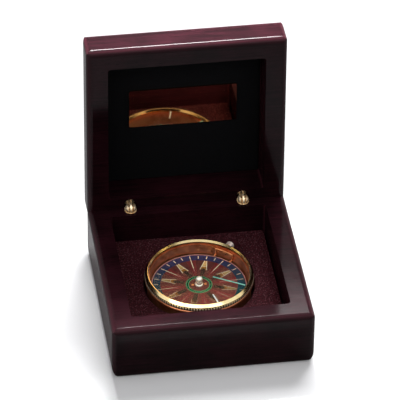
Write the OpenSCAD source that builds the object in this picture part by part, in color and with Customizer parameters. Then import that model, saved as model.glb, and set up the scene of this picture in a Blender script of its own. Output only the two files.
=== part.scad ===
// Magnetic card compass with a turning bezel, lying in the flocked tray of a hinged lacquered box.
// The origin is the centre of the box's underside. +Z is up, -Y is the front, and the lid stands open.
// All sizes are in millimetres.

/* [Box] */
// Width of the box along X
box_w = 101.6; // [96:0.2:114]
// Depth of the box along Y
box_d = 101.6; // [98:0.2:114]
// Height of the base
base_h = 30; // [28.8:0.1:34]
// Height of the lid
lid_h = 18.6; // [18:0.1:24]
// Width of the wooden rim round the base's pocket and the lid's recess
rim_w = 10.8; // [9.8:0.1:12]
// Thickness of the base's floor
floor_t = 6; // [4:0.1:6.6]
// Thickness of the lid's top board
lid_top_t = 2.2; // [1.8:0.1:3]
// Rounding of the left and right edges, below on the base and above on the lid
side_r = 6; // [3:0.1:8]
// Rounding of the base's lower front and rear edges
base_front_r = 2.6; // [1:0.1:5]
// Rounding of the lid's upper front and rear edges
lid_front_r = 5; // [2:0.1:6]
// Rounding of the edges that meet when the box is shut
lip_r = 3; // [1:0.1:3.6]
// Rounding of the upright outer corners
corner_r = 2.6; // [1:0.1:5]
// Rounding of the pocket's upright corners
pocket_r = 1.6; // [0.6:0.1:3]
// Gap between the base and the shut lid
seam = 0.2; // [0.1:0.05:0.4]

/* [Hinges] */
// Distance from the hinge axis to the back face
hinge_back = 4.8; // [4.4:0.1:5.2]
// Distance between the two hinges
hinge_span = 58; // [40:1:70]
// Angle at which the lid stands open, in degrees
open_angle = 92; // [88:1:100]
// Diameter of the brass barrels
barrel_d = 6; // [5.8:0.1:6.4]
// Length of a barrel in the base
base_barrel_len = 11; // [8:0.5:14]
// Length of a barrel in the lid
lid_barrel_len = 8; // [6:0.5:9]
// Diameter of the ball on a base barrel
ball_d = 5.8; // [5.6:0.1:5.9]
// How far the ball's centre lies in front of the hinge axis
ball_forward = 1.6; // [1.5:0.05:1.7]
// How far the ball's centre lies above the base's rim
ball_rise = 1.2; // [1:0.05:1.3]
// Diameter of the hinge pins
hinge_pin_d = 1.2; // [1:0.05:1.3]
// Thickness of a lid tongue
tongue_t = 0.8; // [0.6:0.05:0.9]
// Distance of a tongue's middle from the middle of its hinge
tongue_off = 0.95; // [0.9:0.05:1.05]

/* [Lining] */
// Thickness of the velvet panel in the lid
panel_t = 1.2; // [1:0.1:2]
// Gap round the velvet panel
panel_gap = 0.3; // [0.1:0.1:0.8]
// Width of the bare plate in the lid
plate_w = 55; // [40:1:70]
// Height of the bare plate, measured along the lid
plate_h = 22; // [14:1:40]
// Thickness of the plate
plate_t = 0.8; // [0.5:0.1:1.2]
// Corner rounding of the plate
plate_r = 0.8; // [0.3:0.1:3]
// How far the plate's middle lies from the lid's middle, away from the hinges
plate_shift = 5; // [0:0.5:12]

/* [Tray] */
// Thickness of the tray
tray_t = 8.5; // [8:0.1:10]
// Gap between the tray and the pocket's walls
tray_gap = 1.2; // [0.6:0.1:1.6]
// Gap between the tray's well and the compass's bead
well_gap = 0.9; // [0.5:0.1:1.5]
// Thickness of the felt disc under the compass
felt_t = 0.8; // [0.5:0.1:1.2]

/* [Compass body] */
// Inner radius of the case
case_bore_r = 25; // [24.9:0.05:25.2]
// Thickness of the case's wall
case_wall = 1.4; // [1.2:0.1:1.6]
// Thickness of the case's floor
case_floor = 1.5; // [1:0.1:2]
// Height from the case's underside to the shoulder that carries the bezel
shoulder_h = 11.7; // [11.2:0.1:12.4]
// Radius of the bead under the shoulder
bead_r = 1; // [0.8:0.05:1.2]
// Height of the neck that the bezel turns on
neck_h = 1.05; // [0.9:0.05:1.4]
// Thickness of the neck's wall
neck_wall = 1; // [0.8:0.05:1.1]

/* [Bezel] */
// Outer radius of the bezel
bezel_r = 27.6; // [27.4:0.1:28.2]
// Radius of the bezel's opening at the crystal
lip_open_r = 25.4; // [25.2:0.05:25.5]
// How much wider the opening is at the bezel's top
lip_flare = 0.5; // [0.1:0.1:0.6]
// Height of the bezel's lip above the crystal
lip_h = 1.1; // [0.6:0.05:1.4]
// Width of the flat ring on top of the lip
lip_flat = 0.3; // [0.2:0.05:0.5]
// Height of the sloping chamfer on top of the bezel
chamfer_h = 1.3; // [0.8:0.05:1.4]
// Thickness of the crystal
crystal_t = 1.2; // [0.8:0.1:1.6]
// Thickness of the ring that holds the crystal
keeper_t = 0.35; // [0.3:0.05:0.6]
// Number of milled grooves round the bezel
groove_count = 120; // [72:6:144]
// Radius of one milled groove
groove_r = 0.5; // [0.4:0.02:0.56]
// Depth of one milled groove
groove_depth = 0.42; // [0.2:0.02:0.5]
// Radius of the milled bead's round section
mill_r = 1; // [0.8:0.05:1.1]
// Radius of the wire that keeps the bezel on the neck
wire_r = 0.2; // [0.15:0.01:0.24]
// Direction of the long line on the crystal, in degrees from +X
long_line_dir = -30; // [-180:1:180]
// Angle from the long line to the short line
line_step = -46; // [-90:1:-10]
// Width of the lines
line_w = 0.7; // [0.4:0.05:1.2]
// Distance from the middle at which the long line starts
long_line_start = 7.4; // [4:0.2:14]
// Distance from the middle at which the short line starts
short_line_start = 18; // [12:0.2:21]

/* [Card] */
// Radius of the compass card
card_r = 24.2; // [23.8:0.05:24.4]
// Thickness of the card
card_t = 0.5; // [0.3:0.05:0.8]
// Height of the card's face above the case's underside
card_level = 6.8; // [6.6:0.1:7]
// Radius of the hub's shaft
hub_r = 1.6; // [1.5:0.05:1.8]
// Height of the hub above the card
hub_h = 5.1; // [4.8:0.1:5.2]
// How far the hub's round head stands out from its shaft
hub_head_out = 0.25; // [0.1:0.05:0.3]
// How far the hub's flange stands out from its shaft
hub_flange_out = 0.5; // [0.3:0.05:0.5]
// Thickness of the hub's flange
hub_flange_t = 0.6; // [0.3:0.1:1]
// Thickness of the hub above the jewel
hub_cap_t = 1; // [0.9:0.05:1.2]
// Radius of the jewel
jewel_r = 1.2; // [1:0.05:1.25]
// Thickness of the jewel
jewel_t = 0.8; // [0.6:0.05:1]
// Radius of the pivot pin
pivot_r = 0.45; // [0.35:0.05:0.55]
// Length of a bar magnet
magnet_len = 26; // [18:1:32]
// Width and height of a bar magnet
magnet_t = 2; // [1.5:0.1:2.4]
// Distance of the magnets from the middle
magnet_off = 5.6; // [5:0.1:8]
// Distance of the rivets from the middle
rivet_off = 3.2; // [3.2:0.1:3.6]
// Radius of a rivet's head
rivet_r = 0.7; // [0.5:0.05:0.75]

/* [Card lock] */
// Direction of the lock's stud, in degrees from +X
lock_dir = 50; // [0:1:180]
// How far the stud slides down to lock the card
lock_travel = 1.05; // [0.8:0.05:1.2]
// Radius of the stud's shank
shank_r = 0.7; // [0.6:0.02:0.74]
// Radius of the stud's head
head_r = 2.1; // [1.8:0.1:2.2]
// Length of the stud's head
head_len = 3.6; // [2.6:0.1:4.2]
// Half the angle that the fork spans, in degrees
fork_half = 11.5; // [9:0.5:14]
// Radius of the wire that the fork is bent from
fork_r = 0.4; // [0.3:0.02:0.44]
// How far a fork finger reaches in from the fork's arc
finger_reach = 1.7; // [1.4:0.1:2]

/* [Clearances] */
// Gap at a fixed seat
seat_gap = 0.02; // [0.01:0.01:0.04]
// Radial gap at a turning fit
run_gap = 0.05; // [0.03:0.01:0.08]
// Gap between sliding or passing faces
pass_gap = 0.1; // [0.06:0.01:0.15]

/* [Hidden] */
$fn = 96;

// A little extra length, so that a cut runs past the face it opens
over = 1;
// The hinge axis lies half way between the two mating faces
hinge_y = box_d / 2 - hinge_back;
hinge_z = base_h + seam / 2;
lid_z = base_h + seam;
ball_y = hinge_y - ball_forward;
ball_z = base_h + ball_rise;
// The recess in the lid is clear of the ball through the whole swing
recess_side_gap = 0.55;
recess_end_gap = 0.4;
recess_r = ball_d / 2 + recess_side_gap;
recess_len = ball_rise + ball_d / 2 + recess_end_gap;
// The eye is what lies round the pin in a tongue, the ear what lies round it in the base's barrel
eye_wall = 0.5;
ear_wall = 0.8;
eye_r = hinge_pin_d / 2 + eye_wall;
ear_r = hinge_pin_d / 2 + ear_wall;
// A tongue's arm goes this far in front of the pin and behind it, and this far into the lid's barrel
arm_back = 0.5;
arm_root = 0.3;
pin_end_gap = 0.1;
hinge_pin_len = 2 * (sqrt(pow(barrel_d / 2, 2) - pow(ball_forward, 2)) - pin_end_gap);

pocket_w = box_w - 2 * rim_w;
pocket_d = box_d - 2 * rim_w;
tray_w = pocket_w - 2 * tray_gap;
tray_d = pocket_d - 2 * tray_gap;

case_r = case_bore_r + case_wall;
case_z = floor_t + felt_t;
case_chamfer = 0.8;
shoulder_z = case_z + shoulder_h;
neck_r = case_bore_r + neck_wall;
neck_top = shoulder_z + neck_h;
bead_step = 0.05;
bead_z = shoulder_z - bead_r - bead_step;
well_r = case_r + bead_r + well_gap;
felt_inset = 1;
felt_r = case_r - felt_inset;

// The bezel's skirt turns on the neck, and its lip holds the crystal down
skirt_r = neck_r + run_gap;
bezel_z = shoulder_z + pass_gap;
mill_z = bezel_z + mill_r;
keeper_z = neck_top + pass_gap;
crystal_z = keeper_z + keeper_t;
crystal_r = skirt_r - seat_gap;
lip_z = crystal_z + crystal_t;
bezel_top = lip_z + lip_h;
shelf_step = 0.2;
wire_z = shoulder_z + neck_h / 2;
line_t = 0.12;
line_z = crystal_z + crystal_t;
line_end_gap = 0.6;
line_end = lip_open_r - line_end_gap;

card_z = case_z + card_level;
hub_neck_wall = 0.3;
hub_neck_r = jewel_r + hub_neck_wall;
hub_top = card_z + hub_h;
hub_head_r = hub_r + hub_head_out;
jewel_z = hub_top - hub_cap_t - jewel_t;
cup_depth = jewel_t / 2;
cup_side_gap = 0.35;
cup_point_r = 0.1;
pivot_tip = jewel_z + cup_depth - run_gap;
pivot_point_h = 1;
pivot_point_r = 0.05;
boss_r = 3.2;
boss_h = 2.6;
boss_z = case_z + case_floor;
rivet_h = 0.3;

slot_w = 2 * shank_r + pass_gap;
stud_z = shoulder_z - shank_r - run_gap / 2;
slot_bottom = stud_z - shank_r - lock_travel - pass_gap;
pad_r = shank_r + 2 * pass_gap;
pad_len = 0.8;
fork_out_r = case_bore_r - pass_gap;
fork_mid_r = fork_out_r - fork_r;
fork_z = stud_z + shank_r;
finger_z = card_z + lock_travel + pass_gap + fork_r;
knob_out = 0.06;
knob_r = fork_r + knob_out;
head_gap = 0.25;
head_start = bezel_r + head_gap;
// The head is set high on its shank, so that a finger reaches it beside the bezel
head_lift = head_r - shank_r - 2 * pass_gap;
dome_r = 1.3 * head_r;

// A rectangle with round corners, centred
module round_rect(w, d, r) {
    square([w - 2 * r, d], center = true);
    square([w, d - 2 * r], center = true);
    for (x = [-1, 1], y = [-1, 1])
        translate([x * (w / 2 - r), y * (d / 2 - r)]) circle(r);
}

// The upright section of a block: lower corners rounded by low_r and upper ones by high_r
module edge_section(len, h, low_r, high_r) {
    translate([-len / 2, low_r]) square([len, h - low_r - high_r]);
    translate([-len / 2 + low_r, 0]) square([len - 2 * low_r, h - high_r]);
    translate([-len / 2 + high_r, low_r]) square([len - 2 * high_r, h - low_r]);
    for (x = [-1, 1]) {
        translate([x * (len / 2 - low_r), low_r]) circle(low_r);
        translate([x * (len / 2 - high_r), h - high_r]) circle(high_r);
    }
}

// A block whose edges are run with a cutter from each side, so the roundings meet in mitres.
// side and front hold the lower and the upper rounding of the side edges and of the front and rear edges.
module moulded_block(w, d, h, side, front) {
    intersection() {
        translate([0, d / 2, 0]) rotate([90, 0, 0])
            linear_extrude(d) edge_section(w, h, side[0], side[1]);
        translate([-w / 2, 0, 0]) rotate([90, 0, 90])
            linear_extrude(w) edge_section(d, h, front[0], front[1]);
        linear_extrude(h) round_rect(w, d, corner_r);
    }
}

// Puts a piece that is drawn on the shut box where it is with the lid open
module in_lid() {
    translate([0, hinge_y, hinge_z]) rotate([-open_angle, 0, 0])
        translate([0, -hinge_y, -hinge_z]) children();
}

// One copy at each hinge
module at_hinges() {
    for (side = [-1, 1]) translate([side * hinge_span / 2, 0, 0]) children();
}

// The wedge that is cut off the base's rear edge, so that the open lid can rest there
module base_rear_wedge() {
    translate([-box_w / 2 - over, hinge_y, base_h]) rotate([-open_angle / 2, 0, 0])
        cube([box_w + 2 * over, 2 * hinge_back, hinge_back]);
}

// The wedge that is cut off the lid's rear edge
module lid_rear_wedge() {
    translate([-box_w / 2 - over, hinge_y, lid_z]) rotate([open_angle / 2, 0, 0])
        translate([0, 0, -hinge_back]) cube([box_w + 2 * over, 2 * hinge_back, hinge_back]);
}

// A rod along X on the hinge axis
module axis_rod(r, len) {
    translate([-len / 2, hinge_y, hinge_z]) rotate([0, 90, 0]) cylinder(r = r, h = len);
}

// A slab of a hinge, as thick as one tongue and grown by gap on each side
module tongue_slab(side, gap) {
    translate([side * tongue_off - tongue_t / 2 - gap, hinge_y - 2 * barrel_d, base_h - 2 * barrel_d])
        cube([tongue_t + 2 * gap, 4 * barrel_d, 4 * barrel_d]);
}

// The arm that joins a tongue's eye to the lid's barrel, grown by gap on each side
module tongue_arm(gap) {
    translate([-barrel_d / 2, hinge_y - eye_r - gap, hinge_z])
        cube([barrel_d, eye_r + arm_back + 2 * gap, recess_len + arm_root]);
}

module box_base() color([0.20, 0.07, 0.07]) difference() {
    moulded_block(box_w, box_d, base_h, [side_r, lip_r], [base_front_r, lip_r]);
    translate([0, 0, floor_t]) linear_extrude(base_h) round_rect(pocket_w, pocket_d, pocket_r);
    base_rear_wedge();
    at_hinges() translate([0, ball_y, base_h - base_barrel_len])
        cylinder(r = barrel_d / 2 + seat_gap, h = base_barrel_len + over);
}

module box_lid() color([0.24, 0.08, 0.08]) in_lid() difference() {
    translate([0, 0, lid_z]) moulded_block(box_w, box_d, lid_h, [lip_r, side_r], [lip_r, lid_front_r]);
    translate([0, 0, lid_z - over])
        linear_extrude(lid_h - lid_top_t + over) round_rect(pocket_w, pocket_d, pocket_r);
    lid_rear_wedge();
    at_hinges() translate([0, ball_y, 0]) {
        translate([0, 0, lid_z - over]) cylinder(r = recess_r, h = recess_len + over);
        translate([0, 0, lid_z]) cylinder(r = barrel_d / 2 + seat_gap, h = recess_len + lid_barrel_len);
    }
}

module lid_panel() color([0.05, 0.05, 0.06]) in_lid()
    translate([0, 0, lid_z + lid_h - lid_top_t - panel_t]) linear_extrude(panel_t)
        round_rect(pocket_w - 2 * panel_gap, pocket_d - 2 * panel_gap, pocket_r - panel_gap);

module lid_plate() color([0.85, 0.68, 0.32]) in_lid()
    translate([0, -plate_shift, lid_z + lid_h - lid_top_t - panel_t - plate_t]) linear_extrude(plate_t)
        round_rect(plate_w, plate_h, plate_r);

// A barrel in the base, with a ball on top that two slots part into three lobes
module base_hinge_barrels() color([0.86, 0.70, 0.36]) at_hinges() difference() {
    union() {
        difference() {
            union() {
                translate([0, ball_y, base_h - base_barrel_len])
                    cylinder(r = barrel_d / 2, h = base_barrel_len);
                translate([0, ball_y, ball_z]) sphere(d = ball_d);
            }
            base_rear_wedge();
        }
        intersection() {
            axis_rod(ear_r, barrel_d);
            translate([0, ball_y, base_h - barrel_d]) cylinder(r = barrel_d / 2, h = 2 * barrel_d);
        }
    }
    for (side = [-1, 1]) intersection() {
        tongue_slab(side, pass_gap);
        union() {
            axis_rod(eye_r + pass_gap, barrel_d);
            in_lid() tongue_arm(pass_gap);
            translate([-barrel_d / 2, ball_y - barrel_d, hinge_z])
                cube([barrel_d, 2 * barrel_d, 2 * barrel_d]);
        }
    }
    axis_rod(hinge_pin_d / 2 + seat_gap, 2 * barrel_d);
}

// A barrel in the lid, with two tongues that turn on the pin
module lid_hinge_barrels() color([0.86, 0.70, 0.36]) in_lid() at_hinges() difference() {
    union() {
        translate([0, ball_y, lid_z + recess_len]) cylinder(r = barrel_d / 2, h = lid_barrel_len);
        for (side = [-1, 1]) intersection() {
            tongue_slab(side, 0);
            union() {
                axis_rod(eye_r, barrel_d);
                tongue_arm(0);
            }
        }
    }
    axis_rod(hinge_pin_d / 2 + run_gap, 2 * barrel_d);
}

module hinge_pins() color([0.78, 0.64, 0.34]) at_hinges() axis_rod(hinge_pin_d / 2, hinge_pin_len);

// The flocked block that the compass lies in
module tray() color([0.33, 0.12, 0.14]) translate([0, 0, floor_t]) difference() {
    linear_extrude(tray_t) round_rect(tray_w, tray_d, pocket_r);
    translate([0, 0, -over]) cylinder(r = well_r, h = tray_t + 2 * over);
}

module well_felt() color([0.12, 0.10, 0.10]) translate([0, 0, floor_t]) cylinder(r = felt_r, h = felt_t);

// The turned cup, with a bead under the shoulder and a neck for the bezel
module compass_case() color([0.80, 0.48, 0.30]) difference() {
    union() {
        translate([0, 0, case_z]) cylinder(r1 = case_r - case_chamfer, r2 = case_r, h = case_chamfer);
        translate([0, 0, case_z + case_chamfer]) cylinder(r = case_r, h = shoulder_h - case_chamfer);
        translate([0, 0, bead_z]) rotate_extrude() translate([case_r, 0]) circle(bead_r);
        translate([0, 0, shoulder_z]) cylinder(r = neck_r, h = neck_h);
    }
    translate([0, 0, boss_z]) cylinder(r = case_bore_r, h = shoulder_h + neck_h);
    translate([0, 0, wire_z]) rotate_extrude() translate([skirt_r, 0]) circle(wire_r + run_gap);
    rotate(lock_dir) translate([case_bore_r - over, -slot_w / 2, slot_bottom])
        cube([2 * over + case_wall + bead_r, slot_w, shoulder_z - slot_bottom]);
}

// The post that carries the pivot pin
module pivot_boss() color([0.80, 0.62, 0.32]) translate([0, 0, boss_z]) difference() {
    union() {
        cylinder(r = boss_r, h = boss_h / 2);
        cylinder(r = boss_r / 2, h = boss_h);
    }
    translate([0, 0, boss_h / 2]) cylinder(r = pivot_r + seat_gap, h = boss_h);
}

module pivot_pin() color([0.72, 0.73, 0.75]) {
    translate([0, 0, boss_z + boss_h / 2])
        cylinder(r = pivot_r, h = pivot_tip - pivot_point_h - boss_z - boss_h / 2);
    translate([0, 0, pivot_tip - pivot_point_h])
        cylinder(r1 = pivot_r, r2 = pivot_point_r, h = pivot_point_h);
}

module compass_card() color([0.36, 0.10, 0.12]) translate([0, 0, card_z - card_t]) difference() {
    cylinder(r = card_r, h = card_t);
    translate([0, 0, -over]) cylinder(r = hub_neck_r + seat_gap, h = card_t + 2 * over);
    for (side = [-1, 1]) translate([side * rivet_off, 0, -over])
        cylinder(r = rivet_r / 2 + seat_gap, h = card_t + 2 * over);
}

// A hollow cap with a flange and a round head, open below for the pivot pin
module card_hub() color([0.90, 0.86, 0.76]) difference() {
    union() {
        translate([0, 0, card_z]) cylinder(r = hub_r + hub_flange_out, h = hub_flange_t);
        translate([0, 0, card_z]) cylinder(r = hub_r, h = hub_h - hub_head_r);
        translate([0, 0, hub_top - hub_head_r]) sphere(hub_head_r);
        translate([0, 0, card_z - card_t]) cylinder(r = hub_neck_r, h = card_t);
    }
    translate([0, 0, card_z - card_t - over])
        cylinder(r = jewel_r + seat_gap, h = jewel_z + jewel_t - card_z + card_t + over);
}

// The jewel, whose cup rides on the pin's point
module hub_jewel() color([0.65, 0.12, 0.22]) translate([0, 0, jewel_z]) difference() {
    cylinder(r = jewel_r, h = jewel_t);
    cylinder(r1 = pivot_r + cup_side_gap, r2 = cup_point_r, h = cup_depth);
}

module card_magnets() color([0.55, 0.56, 0.58])
    for (side = [-1, 1]) translate([side * magnet_off, 0, card_z - card_t - magnet_t / 2])
        cube([magnet_t, magnet_len, magnet_t], center = true);

module card_rivets() color([0.88, 0.52, 0.28])
    for (side = [-1, 1]) translate([side * rivet_off, 0, card_z]) {
        cylinder(r = rivet_r, h = rivet_h);
        translate([0, 0, -card_t]) cylinder(r = rivet_r / 2, h = card_t);
        translate([0, 0, -card_t - rivet_h]) cylinder(r = rivet_r, h = rivet_h);
    }

// The stud outside the case: a shank through the slot and a domed head
module lock_stud() color([0.88, 0.74, 0.42]) rotate(lock_dir) {
    translate([fork_out_r, 0, stud_z]) rotate([0, 90, 0])
        cylinder(r = shank_r, h = head_start - fork_out_r);
    translate([head_start, 0, stud_z + head_lift]) rotate([0, 90, 0]) intersection() {
        cylinder(r = head_r, h = head_len);
        translate([0, 0, head_len - dome_r]) sphere(dome_r);
    }
}

// The fork inside the case: a wire arc whose two ends turn down and in, to hang over the card's rim
module lock_fork() color([0.86, 0.66, 0.40]) {
    rotate(lock_dir - fork_half) translate([0, 0, fork_z])
        rotate_extrude(angle = 2 * fork_half) translate([fork_mid_r, 0]) circle(fork_r);
    for (side = [-1, 1]) rotate(lock_dir + side * fork_half) {
        translate([fork_mid_r, 0, fork_z]) sphere(knob_r);
        translate([fork_mid_r, 0, finger_z]) cylinder(r = fork_r, h = fork_z - finger_z);
        translate([fork_mid_r, 0, finger_z]) sphere(knob_r);
        translate([fork_mid_r - finger_reach, 0, finger_z]) rotate([0, 90, 0])
            cylinder(r = fork_r, h = finger_reach);
        translate([fork_mid_r - finger_reach, 0, finger_z]) sphere(knob_r);
    }
    rotate(lock_dir) translate([fork_out_r - pad_len, 0, stud_z]) rotate([0, 90, 0])
        cylinder(r = pad_r, h = pad_len);
}

// The bezel: a milled bead, a smooth chamfer above it, and a flared lip over the crystal
module bezel_ring() color([0.90, 0.75, 0.42]) difference() {
    union() {
        difference() {
            union() {
                translate([0, 0, mill_z]) rotate_extrude() translate([bezel_r - mill_r, 0]) circle(mill_r);
                translate([0, 0, bezel_z]) cylinder(r = bezel_r - mill_r, h = 2 * mill_r);
            }
            for (i = [0 : groove_count - 1]) rotate(i * 360 / groove_count)
                translate([bezel_r + groove_r - groove_depth, 0, bezel_z - over])
                    cylinder(r = groove_r, h = 2 * mill_r + 2 * over, $fn = 24);
        }
        translate([0, 0, mill_z + mill_r - shelf_step])
            cylinder(r = bezel_r - shelf_step, h = bezel_top - chamfer_h - mill_z - mill_r + shelf_step);
        translate([0, 0, bezel_top - chamfer_h])
            cylinder(r1 = bezel_r - shelf_step, r2 = lip_open_r + lip_flare + lip_flat, h = chamfer_h);
    }
    translate([0, 0, bezel_z - over]) cylinder(r = skirt_r, h = lip_z - bezel_z + over);
    translate([0, 0, lip_z - over]) cylinder(r = lip_open_r, h = 2 * over);
    translate([0, 0, lip_z]) cylinder(r1 = lip_open_r, r2 = lip_open_r + lip_flare, h = lip_h);
    translate([0, 0, bezel_top - over / 100]) cylinder(r = lip_open_r + lip_flare, h = over);
    translate([0, 0, wire_z]) rotate_extrude() translate([skirt_r, 0]) circle(wire_r + seat_gap);
}

module crystal() color([0.85, 0.92, 0.95, 0.35])
    translate([0, 0, crystal_z]) cylinder(r = crystal_r, h = crystal_t);

// A radial line on the crystal
module crystal_line(dir, start) {
    rotate(dir) translate([start, -line_w / 2, line_z]) cube([line_end - start, line_w, line_t]);
}

module bearing_line() color([0.55, 0.85, 0.80]) crystal_line(long_line_dir, long_line_start);

module offset_line() color([0.92, 0.94, 0.92]) crystal_line(long_line_dir + line_step, short_line_start);

// The ring under the crystal, sprung into the bezel's skirt
module crystal_keeper() color([0.82, 0.60, 0.34]) translate([0, 0, keeper_z]) difference() {
    cylinder(r = skirt_r - seat_gap, h = keeper_t);
    translate([0, 0, -over]) cylinder(r = lip_open_r, h = keeper_t + 2 * over);
}

module bezel_wire() color([0.75, 0.76, 0.78])
    translate([0, 0, wire_z]) rotate_extrude() translate([skirt_r, 0]) circle(wire_r);

box_base();
box_lid();
lid_panel();
lid_plate();
base_hinge_barrels();
lid_hinge_barrels();
hinge_pins();
tray();
well_felt();
compass_case();
pivot_boss();
pivot_pin();
compass_card();
card_hub();
hub_jewel();
card_magnets();
card_rivets();
lock_stud();
lock_fork();
bezel_ring();
crystal();
bearing_line();
offset_line();
crystal_keeper();
bezel_wire();
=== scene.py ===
# %% [markdown]
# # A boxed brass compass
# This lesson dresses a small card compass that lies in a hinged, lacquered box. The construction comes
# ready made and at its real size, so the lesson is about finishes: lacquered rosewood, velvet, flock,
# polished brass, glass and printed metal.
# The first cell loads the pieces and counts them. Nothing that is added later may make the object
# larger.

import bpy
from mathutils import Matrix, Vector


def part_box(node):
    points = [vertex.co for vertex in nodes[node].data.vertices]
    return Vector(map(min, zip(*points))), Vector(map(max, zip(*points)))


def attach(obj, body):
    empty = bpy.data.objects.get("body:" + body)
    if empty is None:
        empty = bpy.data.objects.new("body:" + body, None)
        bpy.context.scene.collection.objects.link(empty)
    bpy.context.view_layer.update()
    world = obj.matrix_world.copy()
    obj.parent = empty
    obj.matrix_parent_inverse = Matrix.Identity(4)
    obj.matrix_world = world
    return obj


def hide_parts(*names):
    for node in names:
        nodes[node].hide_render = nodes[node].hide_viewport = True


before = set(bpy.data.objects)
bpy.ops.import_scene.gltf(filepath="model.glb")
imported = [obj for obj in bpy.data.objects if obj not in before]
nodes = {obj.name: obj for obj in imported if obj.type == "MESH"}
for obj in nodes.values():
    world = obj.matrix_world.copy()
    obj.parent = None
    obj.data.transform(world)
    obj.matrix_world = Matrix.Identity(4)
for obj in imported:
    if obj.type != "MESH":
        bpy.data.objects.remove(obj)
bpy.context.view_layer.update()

import math

import bmesh
import bpy
from mathutils import Euler, Matrix, Vector

MM = 0.001
print("pieces from the workshop:", len(nodes))

# %% [markdown]
# ## Camera
# The photograph was taken with a long lens from the front left, looking down at about 38 degrees. A long
# lens keeps the box's edges almost parallel, so the lens and the distance are both large. The lens is worked
# out from the scale of the picture, which is how many pixels one millimetre takes up at the point aimed at.

# %% Place the camera
CAMERA_TURN = math.radians(8.96)
CAMERA_HEIGHT = math.radians(38.09)
CAMERA_ROLL = math.radians(0.94)
CAMERA_DISTANCE = 2000 * MM
CAMERA_AIM = Vector((-0.25, 0.0, 68.16)) * MM
PHOTO_PIXELS = 400
PIXELS_PER_MM = 2.012

camera_data = bpy.data.cameras.new("camera")
pixels_of_focus = PIXELS_PER_MM * CAMERA_DISTANCE / MM
camera_data.lens = pixels_of_focus * camera_data.sensor_width / PHOTO_PIXELS
camera = bpy.data.objects.new("camera", camera_data)
bpy.context.scene.collection.objects.link(camera)
bpy.context.scene.camera = camera
turn = Euler((math.pi / 2 - CAMERA_HEIGHT, 0, -CAMERA_TURN)).to_matrix()
turn = turn @ Matrix.Rotation(CAMERA_ROLL, 3, "Z")
camera.rotation_euler = turn.to_euler()
camera.location = CAMERA_AIM + turn @ Vector((0, 0, CAMERA_DISTANCE))
bpy.context.scene.view_settings.view_transform = "Standard"
print("lens in mm:", round(camera_data.lens))

# %% [markdown]
# ## Helpers for materials
# Colours are written as sRGB hex values, the way a paint program shows them. The renderer works with
# linear light, so one function turns the one into the other. A second function adds a node, sets it up and
# links it, and every material below is built with it.

# %% Colour and node helpers
def hex_colour(text):
    """A linear colour with alpha from an sRGB hex value such as "#804020"."""
    parts = [int(text[i:i + 2], 16) / 255 for i in (1, 3, 5)]
    linear = [c / 12.92 if c <= 0.04045 else ((c + 0.055) / 1.055) ** 2.4 for c in parts]
    return (*linear, 1.0)


def add_node(owner, kind, settings=None, inputs=None, links=None):
    """Adds a node to a material or a world, with its properties, its socket values and its links."""
    tree = owner.node_tree
    node = tree.nodes.new(kind)
    for name, value in (settings or {}).items():
        setattr(node, name, value)
    for name, value in (inputs or {}).items():
        node.inputs[name].default_value = value
    for name, source in (links or {}).items():
        tree.links.new(source, node.inputs[name])
    return node


print("mid grey in linear light:", round(hex_colour("#808080")[0], 3))

# %% [markdown]
# ## Starting and finishing a material
# Every material starts empty and ends with one shader on its output. The pieces from the workshop keep their
# shapes, so painting one only swaps the material on its mesh.

# %% Material helpers
def start_material(name):
    """An empty material with only its output node."""
    material = bpy.data.materials.new(name)
    material.use_nodes = True
    material.node_tree.nodes.clear()
    output = add_node(material, "ShaderNodeOutputMaterial")
    return material, output


def finish_material(material, output, shader, socket="BSDF"):
    """Links the last shader to the material's output."""
    material.node_tree.links.new(shader.outputs[socket], output.inputs["Surface"])
    return material


def paint(material, *node_names):
    """Gives CAD nodes one material."""
    for node_name in node_names:
        mesh = nodes[node_name].data
        mesh.materials.clear()
        mesh.materials.append(material)


print("nodes that can be painted:", ", ".join(sorted(nodes)))

# %% [markdown]
# ## What is seen and what lights
# The floor and the room have to look white. A floor that is lit until it looks white throws a lot of light
# back up, though, and would spoil the dark lacquer. So both get two faces: a white one for the camera, for
# reflections and through glass, and a dark one for light that only bounces off them. The Light Path node
# tells which kind of ray meets the surface.

# %% Tell seeing from lighting
SEEN_RAYS = ("Is Camera Ray", "Is Glossy Ray", "Is Transmission Ray")


def seen_directly(owner):
    """One where the camera, a reflection or a look through glass meets a surface, and zero elsewhere."""
    rays = add_node(owner, "ShaderNodeLightPath")
    seen = rays.outputs[SEEN_RAYS[0]]
    for kind in SEEN_RAYS[1:]:
        either = add_node(owner, "ShaderNodeMath", {"operation": "MAXIMUM"},
                          links={0: seen, 1: rays.outputs[kind]})
        seen = either.outputs[0]
    return seen


print("rays that see the white face:", SEEN_RAYS)

# %% [markdown]
# ## Floor
# The floor is one large flat face. It lies a hair below the underside of the box, because two faces in the
# same plane would flicker. It only belongs to the picture.

# %% Lay the floor
FLOOR_SIDE = 6.0
FLOOR_DROP = 0.05 * MM

half = FLOOR_SIDE / 2
corners = [(-half, -half, 0), (half, -half, 0), (half, half, 0), (-half, half, 0)]
floor_mesh = bpy.data.meshes.new("floor")
floor_mesh.from_pydata(corners, [], [(0, 1, 2, 3)])
floor = bpy.data.objects.new("floor", floor_mesh)
floor.location.z = -FLOOR_DROP
bpy.context.scene.collection.objects.link(floor)
print("floor side in m:", FLOOR_SIDE)

# %% [markdown]
# ## White paint for the floor
# The white face glows faintly beside the object, where it has to keep the shadow, and fully farther out, so
# the floor is white right to the edges of the picture. The distance from the floor's middle sets how much.

# %% Paint the floor
SHADOW_REACH = 0.25
WHITE_FROM = 0.9
NEAR_GLOW = 0.05
FAR_GLOW = 1.0

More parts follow.
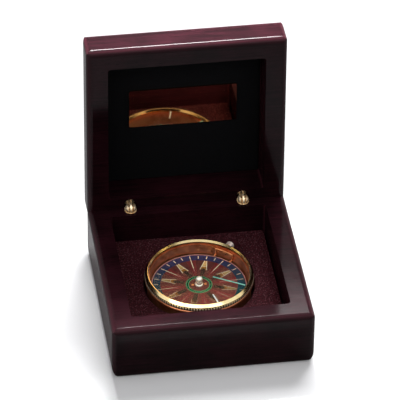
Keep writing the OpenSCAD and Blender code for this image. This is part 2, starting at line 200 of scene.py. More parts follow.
floor_paint, output = start_material("white_floor")
matte = add_node(floor_paint, "ShaderNodeBsdfDiffuse", inputs={"Color": hex_colour("#f4f4f6")})
place = add_node(floor_paint, "ShaderNodeTexCoord")
distance = add_node(floor_paint, "ShaderNodeVectorMath", {"operation": "LENGTH"},
                    links={0: place.outputs["Object"]})
fade = add_node(floor_paint, "ShaderNodeMapRange", links={"Value": distance.outputs["Value"]},
                inputs={"From Min": SHADOW_REACH, "From Max": WHITE_FROM,
                        "To Min": NEAR_GLOW, "To Max": FAR_GLOW})
glow = add_node(floor_paint, "ShaderNodeEmission", inputs={"Color": hex_colour("#ffffff")},
                links={"Strength": fade.outputs[0]})
white = add_node(floor_paint, "ShaderNodeAddShader", links={0: matte.outputs[0], 1: glow.outputs[0]})
grey = add_node(floor_paint, "ShaderNodeBsdfDiffuse", inputs={"Color": hex_colour("#3c3c40")})
shown = add_node(floor_paint, "ShaderNodeMixShader",
                 links={"Fac": seen_directly(floor_paint), 1: grey.outputs[0], 2: white.outputs[0]})
finish_material(floor_paint, output, shown, "Shader")
floor_mesh.materials.append(floor_paint)
print("the floor is fully white from", WHITE_FROM, "m")

# %% [markdown]
# ## Surroundings
# The world round the object is white in the same way: bright where it is seen or mirrored, and dim as a
# source of light, so that the lamps alone shape the object.

# %% White surroundings
SEEN_STRENGTH = 1.0
LIGHTING_STRENGTH = 0.12

world = bpy.data.worlds.new("white_surroundings")
world.use_nodes = True
world.node_tree.nodes.clear()
room_output = add_node(world, "ShaderNodeOutputWorld")
dim = add_node(world, "ShaderNodeBackground",
               inputs={"Color": hex_colour("#ffffff"), "Strength": LIGHTING_STRENGTH})
bright = add_node(world, "ShaderNodeBackground",
                  inputs={"Color": hex_colour("#ffffff"), "Strength": SEEN_STRENGTH})
mixed = add_node(world, "ShaderNodeMixShader",
                 links={"Fac": seen_directly(world), 1: dim.outputs[0], 2: bright.outputs[0]})
world.node_tree.links.new(mixed.outputs[0], room_output.inputs["Surface"])
bpy.context.scene.world = world
print("the surroundings light the object at", LIGHTING_STRENGTH, "of what they show")

# %% [markdown]
# ## Lamps
# The main lamp is large and stands behind the box, high up and a little to the right. It lights whatever
# faces upwards, throws the shadow to the front left, and leaves the upright faces dark, so the lacquer looks
# black there. Because it is behind, its reflection runs as a thin bright line along the rounded front edges.
# A low lamp close behind the lid, with a narrow spread, brightens the lid's top edge. It stands just high
# enough to graze the front of the base as well. A wide soft lamp in front is what the front of the bezel
# mirrors, one overhead reaches into the box past the open lid, and a small one at the front left puts sparks
# on the brass. Neither the camera nor a look through the crystal sees the lamps themselves. Their places and
# sizes are in metres.

# %% Hang the lamps
def add_lamp(name, place, aim, side_x, side_y, watts, spread=180):
    """A rectangular soft lamp at place, turned towards aim, with its light spread over some degrees."""
    lamp_data = bpy.data.lights.new(name, "AREA")
    lamp_data.shape = "RECTANGLE"
    lamp_data.size = side_x
    lamp_data.size_y = side_y
    lamp_data.energy = watts
    lamp_data.spread = math.radians(spread)
    lamp = bpy.data.objects.new(name, lamp_data)
    lamp.location = place
    lamp.rotation_euler = (Vector(aim) - Vector(place)).to_track_quat("-Z", "Y").to_euler()
    lamp.visible_camera = False
    lamp.visible_transmission = False
    bpy.context.scene.collection.objects.link(lamp)
    return lamp


lamps = [
    add_lamp("main_lamp", (0.33, 0.74, 1.02), (0, 0, 0.05), 0.55, 0.45, 16),
    add_lamp("low_rear_lamp", (0, 0.13, 0.215), (0, 0.055, 0.13), 0.13, 0.02, 0.27, spread=70),
    add_lamp("overhead_lamp", (0.05, 0.05, 1.2), (0, 0, 0.03), 0.6, 0.5, 2.0),
    add_lamp("front_lamp", (0, -0.76, 0.98), (0, 0, 0.02), 1.5, 0.3, 3.2),
    add_lamp("spark_lamp", (-0.75, -0.45, 0.8), (0, 0, 0.02), 0.4, 0.3, 1.6),
]
print("lamps:", [lamp.name for lamp in lamps])

# %% [markdown]
# ## Rosewood
# The box is rosewood under many coats of lacquer. The wood is a dark maroon with long, fine streaks and
# short dark pores that run along the boards. Both can be made from noise that is stretched along the grain.
# A broad noise on top makes some parts of a board darker than others. Real pores are a tenth of a millimetre
# wide, too fine for this picture, so they are drawn about three times coarser.

# %% Grain and pores
GRAIN_WIDTH = 0.9 * MM
GRAIN_STRETCH = 22
FIGURE_WIDTH = 25 * MM
PORE_WIDTH = 0.35 * MM
PORE_STRETCH = 9


def stretched_noise(material, place, width, stretch, **noise_inputs):
    """Noise of a width across the boards, drawn out along them."""
    along = add_node(material, "ShaderNodeMapping", links={"Vector": place.outputs["Object"]},
                     inputs={"Scale": (1 / stretch, 1, 1)})
    noise = add_node(material, "ShaderNodeTexNoise", links={"Vector": along.outputs[0]},
                     inputs={"Scale": 1 / width, **noise_inputs})
    return noise.outputs["Fac"]


def wood_colour(material, place, dark, light, pore):
    """The colour of the wood: streaks between two sRGB colours, with pores of a third."""
    streaks = stretched_noise(material, place, GRAIN_WIDTH, GRAIN_STRETCH,
                              Detail=5.0, Roughness=0.55, Distortion=0.3)
    broad = stretched_noise(material, place, FIGURE_WIDTH, 1, Detail=2.0)
    figure = add_node(material, "ShaderNodeMath", {"operation": "ADD"}, links={0: streaks, 1: broad})
    share = add_node(material, "ShaderNodeMapRange", links={"Value": figure.outputs[0]},
                     inputs={"From Min": 0.80, "From Max": 1.20})
    wood = add_node(material, "ShaderNodeMix", {"data_type": "RGBA"},
                    {6: hex_colour(dark), 7: hex_colour(light)}, {0: share.outputs[0]})
    pores = stretched_noise(material, place, PORE_WIDTH, PORE_STRETCH, Detail=1.0)
    open_pores = add_node(material, "ShaderNodeMapRange", links={"Value": pores},
                          inputs={"From Min": 0.62, "From Max": 0.72})
    porous = add_node(material, "ShaderNodeMix", {"data_type": "RGBA"}, {7: hex_colour(pore)},
                      {0: open_pores.outputs[0], 6: wood.outputs[2]})
    return porous.outputs[2]


print("a streak is", round(GRAIN_WIDTH * GRAIN_STRETCH / MM), "mm long")

# %% [markdown]
# ## Rubbed and highlighted edges
# Where an edge is rounded, the lacquer has been rubbed thinner, so the wood looks a little paler there, and
# the same paler colour is a painted highlight along the roundings. The material finds those places by the
# direction of the surface: on a flat face one part of the normal is always close to one, and on a rounding
# it isn't. That needs no painting by hand, and it holds at any size.

# %% Find the rounded edges
FLAT_FROM = 0.99
ROUND_FROM = 0.80
RUBBED_AND_HIGHLIGHT_SHARE = 0.35


def rubbed_and_highlight_share(material, place):
    """How much an edge is rubbed and painted as a highlight: nothing on the flat faces and most on the
    roundings.
    """
    size = add_node(material, "ShaderNodeVectorMath", {"operation": "ABSOLUTE"},
                    links={0: place.outputs["Normal"]})
    parts = add_node(material, "ShaderNodeSeparateXYZ", links={"Vector": size.outputs[0]})
    largest = add_node(material, "ShaderNodeMath", {"operation": "MAXIMUM"},
                       links={0: parts.outputs["X"], 1: parts.outputs["Y"]})
    largest = add_node(material, "ShaderNodeMath", {"operation": "MAXIMUM"},
                       links={0: largest.outputs[0], 1: parts.outputs["Z"]})
    worn_and_highlight = add_node(material, "ShaderNodeMapRange", links={"Value": largest.outputs[0]},
                    inputs={"From Min": FLAT_FROM, "From Max": ROUND_FROM, "To Max": RUBBED_AND_HIGHLIGHT_SHARE})
    return worn_and_highlight.outputs[0]


print("edges turned by more than", round(math.degrees(math.acos(FLAT_FROM))), "degrees are rubbed")

# %% [markdown]
# ## Gloss lacquer
# The lacquer adds a thin reflection on top, and dries with a faint waviness that breaks long reflections up.
# That is what the coat of the shader is for. The wood lies under lacquer of nearly its own refractive index,
# so its own IOR is close to 1 and only the coat reflects.

# %% Rosewood under gloss lacquer
LACQUER_WAVE = 9 * MM
LACQUER_WAVE_HEIGHT = 0.1 * MM


def lacquered_rosewood(name, dark, light, pore, rubbed_and_highlighted):
    """Rosewood between two sRGB colours, with dark pores and paler edges that are rubbed lacquer and a
    painted highlight, under a clear coat.
    """
    material, output = start_material(name)
    place = add_node(material, "ShaderNodeTexCoord")
    wood = wood_colour(material, place, dark, light, pore)
    # The paler colour on the roundings is rubbed lacquer and a painted highlight.
    final = add_node(material, "ShaderNodeMix", {"data_type": "RGBA"}, {7: hex_colour(rubbed_and_highlighted)},
                     {0: rubbed_and_highlight_share(material, place), 6: wood})
    waves = add_node(material, "ShaderNodeTexNoise", links={"Vector": place.outputs["Object"]},
                     inputs={"Scale": 1 / LACQUER_WAVE, "Detail": 1.0})
    bump = add_node(material, "ShaderNodeBump", links={"Height": waves.outputs["Fac"]},
                    inputs={"Strength": 0.2, "Distance": LACQUER_WAVE_HEIGHT})
    shader = add_node(material, "ShaderNodeBsdfPrincipled",
                      links={"Base Color": final.outputs[2], "Coat Normal": bump.outputs[0]},
                      inputs={"Roughness": 0.5, "IOR": 1.02, "Coat Weight": 0.2, "Coat IOR": 1.35,
                              "Coat Roughness": 0.095})
    return finish_material(material, output, shader)


# The last colour is for the roundings: rubbed lacquer and a painted highlight.
rosewood = lacquered_rosewood("lacquered_rosewood", "#190a0e", "#2c1118", "#120608", "#522832")
paint(rosewood, "box_base", "box_lid")
print("painted with", rosewood.name)

# %% [markdown]
# ## The shape of the velvet panel
# The panel in the lid is card wrapped in black velvet, so its edges roll over softly and its face has slight
# hollows. Cloth could be simulated for it, but it is glued down and hardly moves, so a height that depends
# on the place says it all: rolled down at the edge, shallow dimples inside, and flat where the plate lies.

# %% How thick the panel is
PANEL_SIDE = 79.4 * MM
PANEL_BACK = 46.6 * MM
PANEL_THICK = 1.2 * MM
EDGE_ROLL = 2.2 * MM
HOLLOW = 0.08 * MM
DIMPLE_X = 7 * MM
DIMPLE_Y = 5.5 * MM
PLATE_LOW = Vector((-29, -18)) * MM
PLATE_HIGH = Vector((29, 8)) * MM


def panel_thickness(x, y):
    """How thick the wrapped panel is at a place, measured from its middle."""
    edge_distance = PANEL_SIDE / 2 - max(abs(x), abs(y))
    share = min(max(edge_distance / EDGE_ROLL, 0), 1)
    rolled = PANEL_THICK * math.sqrt(1 - (1 - share) ** 2)
    if PLATE_LOW.x < x < PLATE_HIGH.x and PLATE_LOW.y < y < PLATE_HIGH.y:
        return rolled
    hollow = HOLLOW * (0.5 + 0.5 * math.sin(x / DIMPLE_X) * math.cos(y / DIMPLE_Y))
    return max(rolled - hollow, 0)


print("thickness at the middle in mm:", round(panel_thickness(0, 0) / MM, 2))

# %% [markdown]
# ## The grid of the panel
# A grid of small faces takes on that height. Its lines lie closer together towards the edges, where the roll
# is tight, and the back is one flat face. The grid is made for the shut lid, lying flat, because its places
# are easier to say there.

# %% Build the panel
GRID = 110


def grid_step(i):
    """Places the grid's lines closer together towards the edges."""
    return math.sin(math.pi / 2 * (2 * i / GRID - 1)) * PANEL_SIDE / 2


shape = bmesh.new()
steps = [grid_step(i) for i in range(GRID + 1)]
rows = [[shape.verts.new((x, y, PANEL_BACK - panel_thickness(x, y))) for y in steps] for x in steps]
for row, next_row in zip(rows, rows[1:]):
    for j in range(GRID):
        shape.faces.new((row[j], row[j + 1], next_row[j + 1], next_row[j]))
rear_edge = [row[-1] for row in rows[1:]]
front_edge = [row[0] for row in rows[-2:0:-1]]
shape.faces.new(rows[0] + rear_edge + rows[-1][-2::-1] + front_edge)
bmesh.ops.recalc_face_normals(shape, faces=shape.faces)
print("corners in the grid:", len(shape.verts))

# %% [markdown]
# ## Hanging the panel in the lid
# The panel is turned about the hinge axis with the lid, from shut to open. It rides on the lid from then on,
# and takes the place of the plain board that the workshop made.

# %% Hang the panel
LID_OPEN = math.radians(92)
HINGE_AXIS = Vector((0, 46.0, 30.1)) * MM

open_the_lid = (Matrix.Translation(HINGE_AXIS) @ Matrix.Rotation(-LID_OPEN, 4, "X")
                @ Matrix.Translation(-HINGE_AXIS))
bmesh.ops.transform(shape, matrix=open_the_lid, verts=shape.verts)
velvet_mesh = bpy.data.meshes.new("velvet_panel")
shape.to_mesh(velvet_mesh)
shape.free()
for polygon in velvet_mesh.polygons:
    polygon.use_smooth = len(polygon.vertices) == 4
velvet_panel = bpy.data.objects.new("velvet_panel", velvet_mesh)
bpy.context.scene.collection.objects.link(velvet_panel)
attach(velvet_panel, "lid")
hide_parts("lid_panel")
print("velvet panel:", len(velvet_mesh.polygons), "faces")

# %% [markdown]
# ## Velvet, flock and felt
# Velvet has a short upright pile that swallows light except at a glancing angle, which is what sheen is for.
# The tray is flocked: short loose fibres are shot onto glue, so it looks like fine felt with lighter and
# darker specks and a few stray pale fibres. The felt disc under the compass is pressed, with a coarser
# mottle. Real fibres are thinner than a pixel here, so each speck stands for a small clump.

# %% Lay the fabrics
STRAY_EDGE = 0.26
STRAY_CORE = 0.12


def pile_fabric(name, dark, light, speck, clump, sheen, pile, stray=0.0):
    """A matte pile that varies between two sRGB colours, with stray specks of a third."""
    material, output = start_material(name)
    place = add_node(material, "ShaderNodeTexCoord")
    specks = add_node(material, "ShaderNodeTexNoise", links={"Vector": place.outputs["Object"]},
                      inputs={"Scale": 1 / clump, "Detail": 3.0, "Roughness": 0.7})
    colours = add_node(material, "ShaderNodeValToRGB", links={"Fac": specks.outputs["Fac"]})
    for stop, position, colour in zip(colours.color_ramp.elements, (0.38, 0.66), (dark, light)):
        stop.position = position
        stop.color = hex_colour(colour)
    fibres = add_node(material, "ShaderNodeTexVoronoi", links={"Vector": place.outputs["Object"]},
                      inputs={"Scale": 1 / clump, "Randomness": 1.0})
    near = add_node(material, "ShaderNodeMapRange", links={"Value": fibres.outputs["Distance"]},
                    inputs={"From Min": STRAY_EDGE, "From Max": STRAY_CORE, "To Max": stray})
    final = add_node(material, "ShaderNodeMix", {"data_type": "RGBA"}, {7: hex_colour(speck)},
                     {0: near.outputs[0], 6: colours.outputs["Color"]})
    bump = add_node(material, "ShaderNodeBump", links={"Height": specks.outputs["Fac"]},
                    inputs={"Strength": 0.7, "Distance": pile})
    shader = add_node(material, "ShaderNodeBsdfPrincipled",
                      links={"Base Color": final.outputs[2], "Normal": bump.outputs[0]},
                      inputs={"Roughness": 0.95, "Specular IOR Level": 0.1, "Sheen Weight": sheen,
                              "Sheen Roughness": 0.4})
    return finish_material(material, output, shader)


black_velvet = pile_fabric("black_velvet", "#020203", "#070709", "#101012", 0.5 * MM, 0.01, 0.15 * MM)
maroon_flock = pile_fabric("maroon_flock", "#0e0607", "#521f28", "#a8727c", 0.8 * MM, 0.015, 0.3 * MM, 0.7)
black_felt = pile_fabric("black_felt", "#0c0a0b", "#242022", "#3a3436", 0.9 * MM, 0.03, 0.3 * MM, 0.3)
velvet_mesh.materials.append(black_velvet)
paint(maroon_flock, "tray")
paint(black_felt, "well_felt")
print("fabrics:", black_velvet.name, maroon_flock.name, black_felt.name)

# %% [markdown]
# ## How a buffed metal is made
# All metals here keep the default IOR, and their colour comes from the base colour alone. Handling leaves a
# faint brown tarnish in patches, the buffing wheel varies the roughness, and a lathe leaves fine rings. Real
# lathe rings are some hundredths of a millimetre apart, so they are drawn much coarser and very shallow:
# the wave texture fits about three rings into the length that its scale is worked out from.

# %% Buffed metal
THREE_RINGS = 3 * MM
LATHE_DEPTH = 0.01 * MM
SMOOTHEST = 0.02


def buffed_metal(name, colour, tarnish, roughness, patch=6 * MM, spread=0.05, rings=0.0, metallic=1.0):
    """A metal with patches of tarnish and buffing marks. rings sets how deep the marks of the lathe are."""
    material, output = start_material(name)
    place = add_node(material, "ShaderNodeTexCoord")
    patches = add_node(material, "ShaderNodeTexNoise", links={"Vector": place.outputs["Object"]},
                       inputs={"Scale": 1 / patch, "Detail": 3.0, "Roughness": 0.5})
    colours = add_node(material, "ShaderNodeValToRGB", links={"Fac": patches.outputs["Fac"]})
    for stop, position, shade in zip(colours.color_ramp.elements, (0.30, 0.55), (tarnish, colour)):
        stop.position = position
        stop.color = hex_colour(shade)
    marks = add_node(material, "ShaderNodeTexNoise", links={"Vector": place.outputs["Object"]},
                     inputs={"Scale": 4 / patch, "Detail": 5.0, "Roughness": 0.65})
    rough = add_node(material, "ShaderNodeMapRange", links={"Value": marks.outputs["Fac"]},
                     inputs={"To Min": max(roughness - spread, SMOOTHEST), "To Max": roughness + spread})
    lathe = add_node(material, "ShaderNodeTexWave", {"bands_direction": "Z"},
                     links={"Vector": place.outputs["Object"]},
                     inputs={"Scale": 1 / THREE_RINGS, "Distortion": 0.4, "Detail": 2.0})
    bump = add_node(material, "ShaderNodeBump", links={"Height": lathe.outputs["Fac"]},
                    inputs={"Strength": rings, "Distance": LATHE_DEPTH})
    shader = add_node(material, "ShaderNodeBsdfPrincipled",
                      links={"Base Color": colours.outputs["Color"], "Roughness": rough.outputs[0],
                             "Normal": bump.outputs[0]},
                      inputs={"Metallic": metallic})
    return finish_material(material, output, shader)


print("rings of the lathe in mm apart:", round(THREE_RINGS / 3 / MM, 1))

# %% [markdown]
# ## Brass, copper and steel
# Brass is copper with zinc: the more copper, the redder. The bezel, the plate and the hinges are yellow
# brass, the case is a redder brass. The plate is polished like a mirror, the bezel nearly so, and the small
# parts are satin. A satin surface scatters light from its fine scratches as a matte one does, and a pure
# metal shader in a dark box would lose that glow, so the satin metals have Metallic somewhat below 1.

# %% Paint the metal parts
bezel_brass = buffed_metal("polished_bezel_brass", "#f6e0aa", "#e6c684", 0.16, rings=0.3)
case_brass = buffed_metal("red_case_brass", "#de9066", "#b8683f", 0.34, rings=0.2, metallic=0.9)
plate_brass = buffed_metal("mirror_plate_brass", "#dab48a", "#cfa67a", 0.03, patch=15 * MM, spread=0.015)
hinge_brass = buffed_metal("satin_hinge_brass", "#f8e4c4", "#e0bf90", 0.42, patch=3 * MM, metallic=0.85)
hub_brass = buffed_metal("hub_brass", "#fffaf2", "#f8eee0", 0.18, patch=2 * MM, metallic=0.75)
stud_brass = buffed_metal("satin_stud_brass", "#fff0e6", "#ffe0d0", 0.4, patch=2 * MM, metallic=0.4)
copper = buffed_metal("satin_copper", "#f09c68", "#d07c4c", 0.4, patch=1 * MM, metallic=0.7)
steel = buffed_metal("ground_steel", "#b9bcc2", "#9a9da3", 0.3, patch=3 * MM)
paint(bezel_brass, "bezel_ring")
paint(stud_brass, "lock_stud")
paint(case_brass, "compass_case", "pivot_boss", "crystal_keeper")
paint(plate_brass, "lid_plate")
paint(hinge_brass, "base_hinge_barrels", "lid_hinge_barrels", "hinge_pins")
paint(hub_brass, "card_hub")
paint(copper, "card_rivets", "lock_fork")
paint(steel, "pivot_pin", "card_magnets", "bezel_wire")
print("metals:", bezel_brass.name, case_brass.name, plate_brass.name, hinge_brass.name, steel.name)

# %% [markdown]
# ## The milling of the bezel
# The bezel's lower edge is milled, so that fingers can turn it. Its grooves are painted darker, partly
# polish and grime that stay there and partly painted shade. The crests between them are painted bright,
# partly brass rubbed by fingers and partly a painted highlight. The grooves are real geometry, so the
# material only has to ask how far a place lies from the axis: near the full radius is a crest, and farther
# in is a groove.
# The milled band ends at a height above the ring's lower edge, and its colours change over a small depth.

# %% Darken the milled grooves as tarnish and painted shade, and brighten the crests as a painted highlight
MILLED_HEIGHT = 1.55 * MM
MILL_DEPTH = 0.3 * MM
MILLED_METALLIC = 0.4
ring_low, ring_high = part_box("bezel_ring")
RING_R = (ring_high.x - ring_low.x) / 2


def tarnish_shade_and_highlight_milling(material, groove, crest):
    """Darkens the milled grooves of the bezel as tarnish and painted shade, and brightens the crests as a
    painted highlight, in two sRGB colours.
    """
    tree = material.node_tree
    shader = next(node for node in tree.nodes if node.type == "BSDF_PRINCIPLED")
    place = add_node(material, "ShaderNodeTexCoord")
    axes = add_node(material, "ShaderNodeSeparateXYZ", links={"Vector": place.outputs["Object"]})
    flat = add_node(material, "ShaderNodeCombineXYZ", links={"X": axes.outputs["X"], "Y": axes.outputs["Y"]})
    radius = add_node(material, "ShaderNodeVectorMath", {"operation": "LENGTH"}, links={0: flat.outputs[0]})
    # Near the full radius the crest colour is a painted highlight; farther in, the groove colour is tarnish
    # and painted shade.
    rubbed_and_highlighted = add_node(material, "ShaderNodeMapRange", links={"Value": radius.outputs["Value"]},
                      inputs={"From Min": RING_R - MILL_DEPTH, "From Max": RING_R - 0.5 * MILL_DEPTH})
    milled = add_node(material, "ShaderNodeMath", {"operation": "LESS_THAN"},
                      {1: ring_low.z + MILLED_HEIGHT}, {0: axes.outputs["Z"]})
    edge = add_node(material, "ShaderNodeMix", {"data_type": "RGBA"},
                    {6: hex_colour(groove), 7: hex_colour(crest)}, {0: rubbed_and_highlighted.outputs[0]})
    plain = shader.inputs["Base Color"].links[0].from_socket
    final = add_node(material, "ShaderNodeMix", {"data_type": "RGBA"},
                     links={0: milled.outputs[0], 6: plain, 7: edge.outputs[2]})
    tree.links.new(final.outputs[2], shader.inputs["Base Color"])
    metal = add_node(material, "ShaderNodeMapRange", links={"Value": milled.outputs[0]},
                     inputs={"To Min": 1.0, "To Max": MILLED_METALLIC})
    tree.links.new(metal.outputs[0], shader.inputs["Metallic"])


# The groove colour is tarnish and painted shade, and the crest colour is a painted highlight.
tarnish_shade_and_highlight_milling(bezel_brass, "#6a4824", "#fff0d0")
print("bezel radius in mm:", round(RING_R / MM, 2))

# %% [markdown]
# ## Crystal and jewel
# The crystal is a flat disc of clear glass. Glass in a renderer keeps lamp light out of what lies under it,
# so the shadow rays are let through as if it weren't there. Fingers leave faint smears, which show as small
# changes in roughness. Real glass has an IOR of about 1.5. Here the crystal has less, because the photograph
# shows hardly any reflection in it. The jewel is red glass.

# %% Glass
SMEAR_WIDTH = 8 * MM
SMEAR_ROUGHNESS = 0.01


def clear_glass(name, colour, roughness=0.0, index=1.5):
    """Glass with faint smears that lets shadow rays through."""
    material, output = start_material(name)
    place = add_node(material, "ShaderNodeTexCoord")
    smears = add_node(material, "ShaderNodeTexNoise", links={"Vector": place.outputs["Object"]},
                      inputs={"Scale": 1 / SMEAR_WIDTH, "Detail": 3.0})
    rough = add_node(material, "ShaderNodeMapRange", links={"Value": smears.outputs["Fac"]},
                     inputs={"From Min": 0.5, "From Max": 0.8,
                             "To Min": roughness, "To Max": roughness + SMEAR_ROUGHNESS})
    glass = add_node(material, "ShaderNodeBsdfPrincipled", links={"Roughness": rough.outputs[0]},
                     inputs={"Base Color": hex_colour(colour), "IOR": index, "Transmission Weight": 1.0})
    clear = add_node(material, "ShaderNodeBsdfTransparent", inputs={"Color": hex_colour(colour)})
    rays = add_node(material, "ShaderNodeLightPath")
    mixed = add_node(material, "ShaderNodeMixShader",
                     links={"Fac": rays.outputs["Is Shadow Ray"], 1: glass.outputs[0], 2: clear.outputs[0]})
    return finish_material(material, output, mixed, "Shader")


crystal_glass = clear_glass("clear_crystal_glass", "#fbfffd", index=1.1)
ruby_glass = clear_glass("ruby_glass", "#c03050", 0.05)
paint(crystal_glass, "crystal")
paint(ruby_glass, "hub_jewel")
print("glass:", crystal_glass.name, ruby_glass.name)

# %% [markdown]
# ## Luminous lines
# The two lines on the crystal are thick luminous paint, put on with a brush. It is uneven, paler where it is
# thick, and slightly rough, so one noise drives both its colour and its bumps.

# %% Luminous paint
STROKE_LENGTH = 1.2 * MM
STROKE_HEIGHT = 0.04 * MM


def thick_paint(name, thin, thick):
    """Brushed paint between two sRGB colours."""
    material, output = start_material(name)
    place = add_node(material, "ShaderNodeTexCoord")
    strokes = add_node(material, "ShaderNodeTexNoise", links={"Vector": place.outputs["Object"]},
                       inputs={"Scale": 1 / STROKE_LENGTH, "Detail": 2.0})
    colours = add_node(material, "ShaderNodeValToRGB", links={"Fac": strokes.outputs["Fac"]})
    for stop, position, colour in zip(colours.color_ramp.elements, (0.35, 0.65), (thin, thick)):
        stop.position = position
        stop.color = hex_colour(colour)
    bump = add_node(material, "ShaderNodeBump", links={"Height": strokes.outputs["Fac"]},
                    inputs={"Strength": 0.4, "Distance": STROKE_HEIGHT})
    shader = add_node(material, "ShaderNodeBsdfPrincipled",
                      links={"Base Color": colours.outputs["Color"], "Normal": bump.outputs[0]},
                      inputs={"Roughness": 0.4, "IOR": 1.5})
    return finish_material(material, output, shader)


luminous_green = thick_paint("luminous_green", "#5fc9b4", "#a6e6d8")
luminous_white = thick_paint("luminous_white", "#dfe8e4", "#fafcfa")
paint(luminous_green, "bearing_line")
paint(luminous_white, "offset_line")
print("line paints:", luminous_green.name, luminous_white.name)

# %% [markdown]
# ## Outlines for the printed card
# The card is a thin metal disc printed with clear inks, so the bright metal shines through the colours. It
# has a maroon ground, a blue to green band with thirty-two pale ticks, an eight-pointed rose in gold with
# cream edges, fine pale lines between the points, and a double green ring round the hub. All of it repeats
# round the middle, so a place on the card is said by a share of its radius and a direction.

# %% Outlines on the card
CARD_TURN = math.radians(4.0)
card_low, card_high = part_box("compass_card")
CARD_R = (card_high.x - card_low.x) / 2
CARD_TOP = card_high.z


def on_card(radius, degrees):
    """A point on the card, by its radius as a share of the card's and its direction clockwise from north."""
    angle = math.pi / 2 - math.radians(degrees) + CARD_TURN
    return radius * CARD_R * math.cos(angle), radius * CARD_R * math.sin(angle)


def sector(r_in, r_out, direction, half_in, half_out, steps=6):
    """The outline of a ray: half_in and half_out are its half widths in degrees at its two ends."""
    outer = [on_card(r_out, direction + half_out * (2 * i / steps - 1)) for i in range(steps + 1)]
    inner = [on_card(r_in, direction + half_in * (1 - 2 * i / steps)) for i in range(steps + 1)]
    return outer + inner


def ring_parts(r_in, r_out, parts=48):
    """A ring as a row of short sectors."""
    step = 360 / parts
    return [sector(r_in, r_out, (i + 0.5) * step, step / 2, step / 2, steps=4) for i in range(parts)]


def kite(direction, *corners):
    """An outline that is alike on both sides of a direction. A corner is a radius and a half width."""
    left = [on_card(radius, direction - half_width) for radius, half_width in corners]
    right = [on_card(radius, direction + half_width) for radius, half_width in corners[::-1] if half_width]
    return left + right


def stroke(start, end, width):
    """The outline of a straight line between two places on the card, each a radius and a direction."""
    a, b = Vector(on_card(*start)), Vector(on_card(*end))
    side = (b - a).orthogonal().normalized() * width / 2
    return [tuple(a + side), tuple(a - side), tuple(b - side), tuple(b + side)]


print("card radius in mm:", round(CARD_R / MM, 2))

# %% [markdown]
# ## Printing a colour
# A picture could be laid on the card, but its edges would blur close up. Here each printed colour is its own
# thin piece on the card, as a screen print lays down one ink after another, so its edges are sharp. Each
# layer lies one thickness of ink above the last, because two surfaces in the same plane would flicker.

# %% Print one colour
INK = 0.02 * MM


def print_layer(name, outlines, material, layer=0):
    """A printed colour: closed outlines raised by one thickness of ink, on top of the layers below."""
    print_shape = bmesh.new()
    low = CARD_TOP + layer * INK
    for outline in outlines:
        bottom = [print_shape.verts.new((x, y, low)) for x, y in outline]
        top = [print_shape.verts.new((x, y, low + INK)) for x, y in outline]
        print_shape.faces.new(top)
        print_shape.faces.new(bottom[::-1])
        for i in range(len(outline)):
            j = (i + 1) % len(outline)
            print_shape.faces.new((bottom[i], bottom[j], top[j], top[i]))
    bmesh.ops.recalc_face_normals(print_shape, faces=print_shape.faces)
    mesh = bpy.data.meshes.new(name)
    print_shape.to_mesh(mesh)
    print_shape.free()
    mesh.materials.append(material)
    piece = bpy.data.objects.new(name, mesh)
    bpy.context.scene.collection.objects.link(piece)
    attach(piece, "card")
    return piece


print("the print starts at", round(CARD_TOP / MM, 2), "mm above the table")

# %% [markdown]
# ## Inks
# Clear ink on bright metal is partly a mirror, and the thick, dark grounds hide the metal almost wholly. The
# ink soaks in unevenly, which shows as a fine mottle in its colour and its gloss. The gloss varies only a
# little, because a wide spread gives bright specks. The band's ink runs from blue at the north to green at
# the south. Most inks also change from north to south by how light falls on the card: the gold, cream and
# rose inks are paler at the north, which is a painted reflection, and the maroon ground and the red rays are
# darker at the north, which is painted shade.

# %% Mix the inks
MOTTLE = 0.8 * MM
COLOUR_SPREAD = 0.15
GLOSS_SPREAD = 0.15


def card_ink(name, north, south, metallic=0.5, roughness=0.2, coat=0.1):
    """An ink that runs from one sRGB colour at the card's north to another at its south; outside the band
    that change is painted light.
    """
    material, output = start_material(name)
    place = add_node(material, "ShaderNodeTexCoord")
    axes = add_node(material, "ShaderNodeSeparateXYZ", links={"Vector": place.outputs["Object"]})
    share = add_node(material, "ShaderNodeMapRange", links={"Value": axes.outputs["Y"]},
                     inputs={"From Min": -CARD_R, "From Max": CARD_R})
    mottle = add_node(material, "ShaderNodeTexNoise", links={"Vector": place.outputs["Object"]},
                      inputs={"Scale": 1 / MOTTLE, "Detail": 3.0, "Roughness": 0.6})
    spread = add_node(material, "ShaderNodeMapRange", links={"Value": mottle.outputs["Fac"]},
                      inputs={"To Min": -COLOUR_SPREAD, "To Max": COLOUR_SPREAD})
    uneven = add_node(material, "ShaderNodeMath", {"operation": "ADD"},
                      links={0: share.outputs[0], 1: spread.outputs[0]})
    colours = add_node(material, "ShaderNodeValToRGB", links={"Fac": uneven.outputs[0]})
    for stop, position, colour in zip(colours.color_ramp.elements, (0.2, 0.9), (south, north)):
        stop.position = position
        stop.color = hex_colour(colour)
    rough = add_node(material, "ShaderNodeMapRange", links={"Value": mottle.outputs["Fac"]},
                     inputs={"To Min": roughness * (1 - GLOSS_SPREAD),
                             "To Max": roughness * (1 + GLOSS_SPREAD)})
    shader = add_node(material, "ShaderNodeBsdfPrincipled",
                      links={"Base Color": colours.outputs["Color"], "Roughness": rough.outputs[0]},
                      inputs={"Metallic": metallic, "Specular IOR Level": 0.12, "Coat Weight": coat,
                              "Coat Roughness": 0.03})
    return finish_material(material, output, shader)


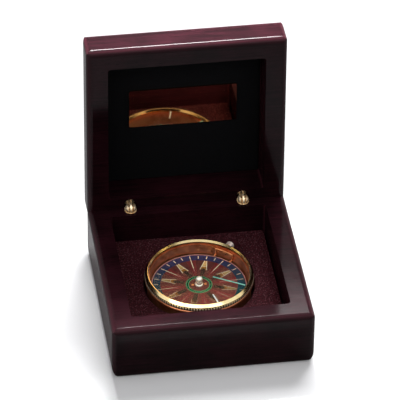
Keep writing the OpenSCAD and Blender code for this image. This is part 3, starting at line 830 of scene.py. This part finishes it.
# Paler north colours in the gold, cream and rose inks are a painted reflection; darker north colours in the
# ground and red inks are painted shade.
ground_ink = card_ink("ground_maroon_ink", "#4c2424", "#68302b", metallic=0.05, roughness=0.3, coat=0.03)
band_ink = card_ink("band_blue_green_ink", "#2e3054", "#1c4440", metallic=0.15, roughness=0.25, coat=0.05)
gold_ink = card_ink("gold_ink", "#b0783c", "#5c3a2a", metallic=0.4)
tip_ink = card_ink("tip_gold_ink", "#e8c488", "#5e4434", metallic=0.6)
olive_ink = card_ink("olive_ink", "#36221e", "#2e231c", metallic=0.05, roughness=0.3, coat=0.03)
red_ink = card_ink("red_ink", "#5e2022", "#74282a", metallic=0.05, roughness=0.3, coat=0.03)
cream_ink = card_ink("cream_ink", "#fdf0d8", "#8a6c60", roughness=0.25)
rose_ink = card_ink("rose_ink", "#d09c98", "#a06c6c", metallic=0.3)
green_ink = card_ink("green_ink", "#3f9068", "#4a9a70", metallic=0.4)
dark_green_ink = card_ink("dark_green_ink", "#123a24", "#183c28")
paint(ground_ink, "compass_card")
print("inks on", nodes["compass_card"].name)

# %% [markdown]
# ## The compass rose
# Each of the eight points is a gold blade with a paler tip, a dark foot, two cream edges and a cross bar.
# Red rays with a fine and a strong line fill the gaps between them. Radii are shares of the card's radius,
# and widths are degrees to each side.

# %% Draw the rose
POINTS = 8
TICKS = 32
LINE = 0.22 * MM
gaps = [i * 360 / POINTS for i in range(POINTS)]
points = [(i + 0.5) * 360 / POINTS for i in range(POINTS)]
tick_marks = [i * 360 / TICKS for i in range(TICKS)]

blades = [kite(d, (0.50, 7.6), (0.79, 1.6)) for d in points]
tips = [kite(d, (0.64, 4.6), (0.785, 1.4)) for d in points]
feet = [kite(d, (0.32, 7), (0.52, 5), (0.55, 0)) for d in points]
edges = [stroke((0.50, d + side * 8.2), (0.80, d + side * 1.6), 1.6 * LINE)
         for d in points for side in (-1, 1)]
bars = [stroke((0.615, d - 5.6), (0.615, d + 5.6), 1.4 * LINE) for d in points]
red_rays = [sector(0.29, 0.80, d, 4.0, 7.5) for d in gaps]
fine_lines = [stroke((0.45, d), (0.85, d), LINE) for d in gaps]
strong_lines = [stroke((0.55, d), (0.84, d), 1.8 * LINE) for d in gaps]
ticks = [stroke((0.86, d), (0.95, d), 2.0 * LINE) for d in tick_marks]
rose = (blades, tips, feet, edges, bars, red_rays, fine_lines, strong_lines, ticks)
print("outlines in the rose:", sum(len(outlines) for outlines in rose))

# %% [markdown]
# ## Printing the card
# The colours go on in order, the band and the rays first. The number is the layer, counted up from the card.
# The ticks stay on a low layer, because the lock's fingers come down to the card's rim there.

# %% Print the card
prints = [
    print_layer("card_band", ring_parts(0.81, 0.975), band_ink),
    print_layer("card_edge_line", ring_parts(0.98, 0.998), rose_ink),
    print_layer("card_red_rays", red_rays, red_ink),
    print_layer("card_gold_points", blades, gold_ink, layer=1),
    print_layer("card_olive_feet", feet, olive_ink, layer=2),
    print_layer("card_gold_tips", tips, tip_ink, layer=2),
    print_layer("card_cream_edges", edges, cream_ink, layer=3),
    print_layer("card_cream_bars", bars, cream_ink, layer=4),
    print_layer("card_fine_lines", fine_lines, rose_ink, layer=1),
    print_layer("card_strong_lines", strong_lines, cream_ink, layer=2),
    print_layer("card_ticks", ticks, cream_ink, layer=1),
    print_layer("card_green_disc", ring_parts(0.215, 0.275), dark_green_ink, layer=1),
    print_layer("card_green_ring", ring_parts(0.26, 0.278), green_ink, layer=2),
    print_layer("card_inner_green_ring", ring_parts(0.215, 0.235), green_ink, layer=2),
]
print("printed colours:", len(prints))
